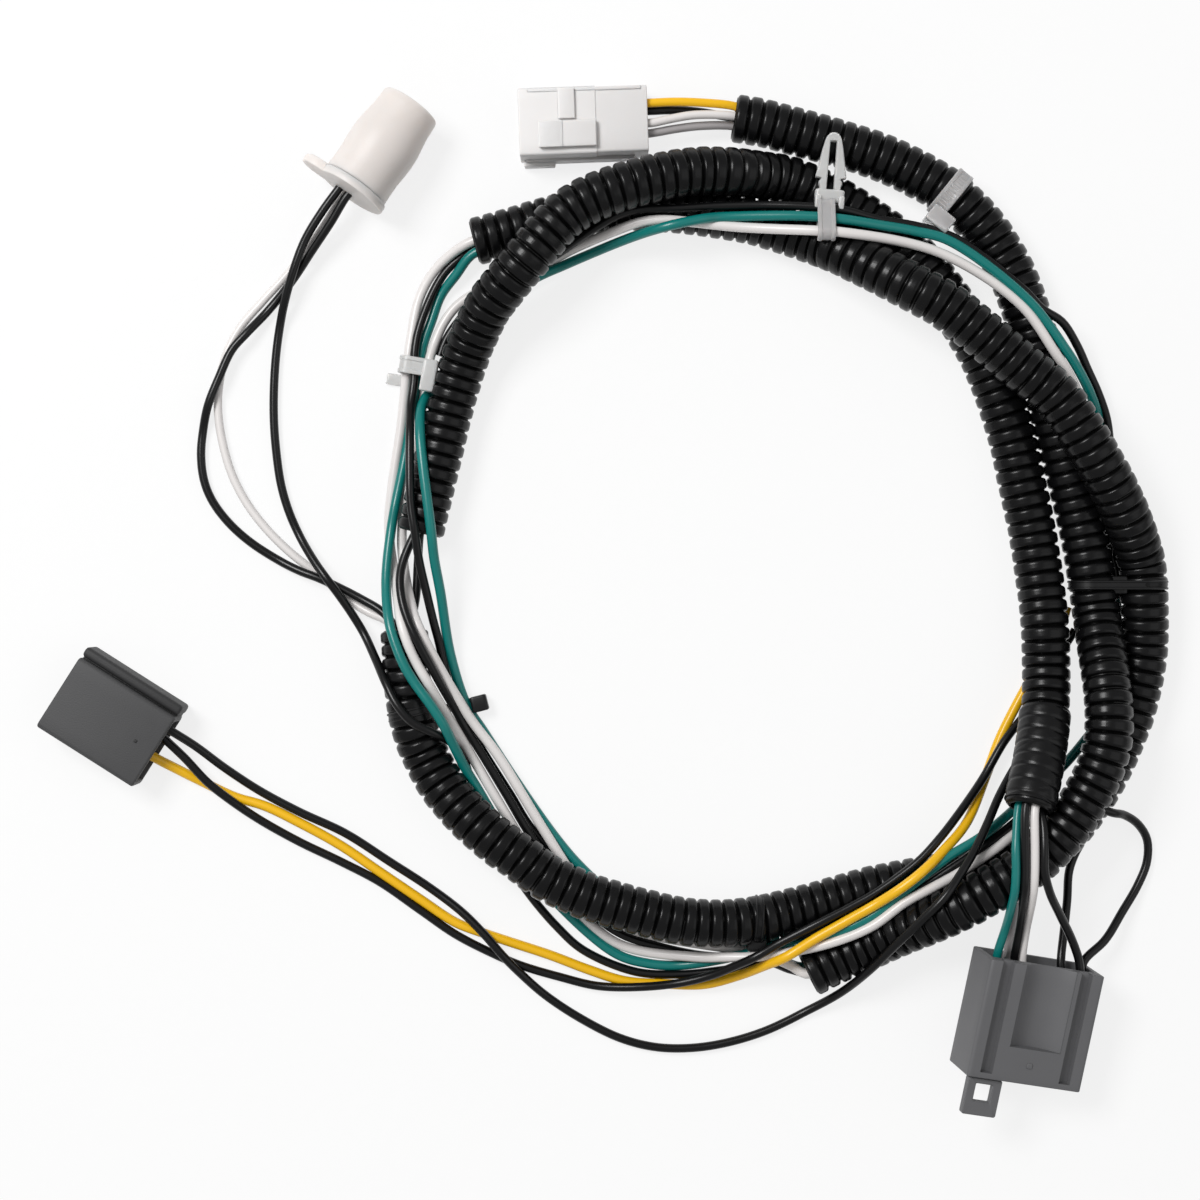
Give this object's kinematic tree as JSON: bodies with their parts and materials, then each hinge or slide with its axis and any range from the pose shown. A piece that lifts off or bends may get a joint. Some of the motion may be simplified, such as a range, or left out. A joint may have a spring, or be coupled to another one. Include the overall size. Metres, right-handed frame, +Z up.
{
  "type": "wiring harness",
  "caption": "Vehicle wiring harness lying in a loop: corrugated conduits, loose coloured wires, moulded connectors, a flanged round socket, cable ties and a push mount.",
  "frame": {"origin": "on the resting plane, below the middle of the outline without the loose wires", "axes": "+Z up from the resting plane, +Y towards the white latch connector, +X towards the outer conduit's far side"},
  "size_m": [0.3102, 0.2815, 0.0301],
  "materials": {
    "conduit": "black split corrugated conduit, semi-matte",
    "tape": "black vinyl tape, soft sheen",
    "wire_black": "black insulation, satin gloss",
    "wire_white": "white insulation, satin gloss",
    "wire_green": "green insulation, satin gloss",
    "wire_yellow": "yellow insulation, satin gloss",
    "wire_grey": "grey insulation, satin gloss",
    "grey_plastic": "moulded grey housing plastic, matte",
    "white_plastic": "moulded white housing plastic, satin",
    "milky_plastic": "milky translucent nylon, satin",
    "charcoal_plastic": "fine-textured dark grey plastic",
    "natural_nylon": "natural nylon, satin",
    "black_nylon": "black nylon, satin",
    "tinned_contact": "tinned brass contact"
  },
  "bodies": {
    "root": {"body_housing": "grey_plastic", "body_lock_tab": "grey_plastic", "body_terminal_1": "tinned_contact", "body_terminal_2": "tinned_contact", "body_terminal_3": "tinned_contact", "body_terminal_4": "tinned_contact", "body_terminal_5": "tinned_contact", "body_terminal_6": "tinned_contact", "body_terminal_7": "tinned_contact", "body_terminal_lock": "milky_plastic", "conduit_bridge": "conduit", "conduit_inner": "conduit", "conduit_mouth_tape": "tape", "conduit_outer": "conduit", "latch_housing": "white_plastic", "latch_lever": "white_plastic", "latch_terminal_1": "tinned_contact", "latch_terminal_2": "tinned_contact", "latch_terminal_3": "tinned_contact", "latch_terminal_4": "tinned_contact", "plug_housing": "charcoal_plastic", "plug_terminal_1": "tinned_contact", "plug_terminal_2": "tinned_contact", "plug_terminal_3": "tinned_contact", "push_mount": "natural_nylon", "socket_body": "milky_plastic", "socket_contact_carrier": "charcoal_plastic", "tie_conduit_inner": "natural_nylon", "tie_conduit_pair": "black_nylon", "tie_lower_run": "black_nylon", "tie_push_mount": "natural_nylon", "tie_trunk_conduit": "black_nylon", "tie_trunk_left": "natural_nylon", "wire_body_black_1": "wire_black", "wire_body_black_2": "wire_black", "wire_body_black_3": "wire_black", "wire_body_black_4": "wire_black", "wire_body_green": "wire_green", "wire_body_grey": "wire_grey", "wire_body_white": "wire_white", "wire_latch_black": "wire_black", "wire_latch_grey": "wire_grey", "wire_latch_white": "wire_white", "wire_latch_yellow": "wire_yellow", "wire_plug_black_1": "wire_black", "wire_plug_black_2": "wire_black", "wire_plug_yellow": "wire_yellow", "wire_socket_black_1": "wire_black", "wire_socket_black_2": "wire_black", "wire_socket_white": "wire_white", "wire_trunk_black_1": "wire_black", "wire_trunk_black_2": "wire_black", "wire_trunk_black_3": "wire_black", "wire_trunk_black_4": "wire_black", "wire_trunk_green_1": "wire_green", "wire_trunk_green_2": "wire_green", "wire_trunk_white_1": "wire_white", "wire_trunk_white_2": "wire_white"}
  },
  "joints": []
}
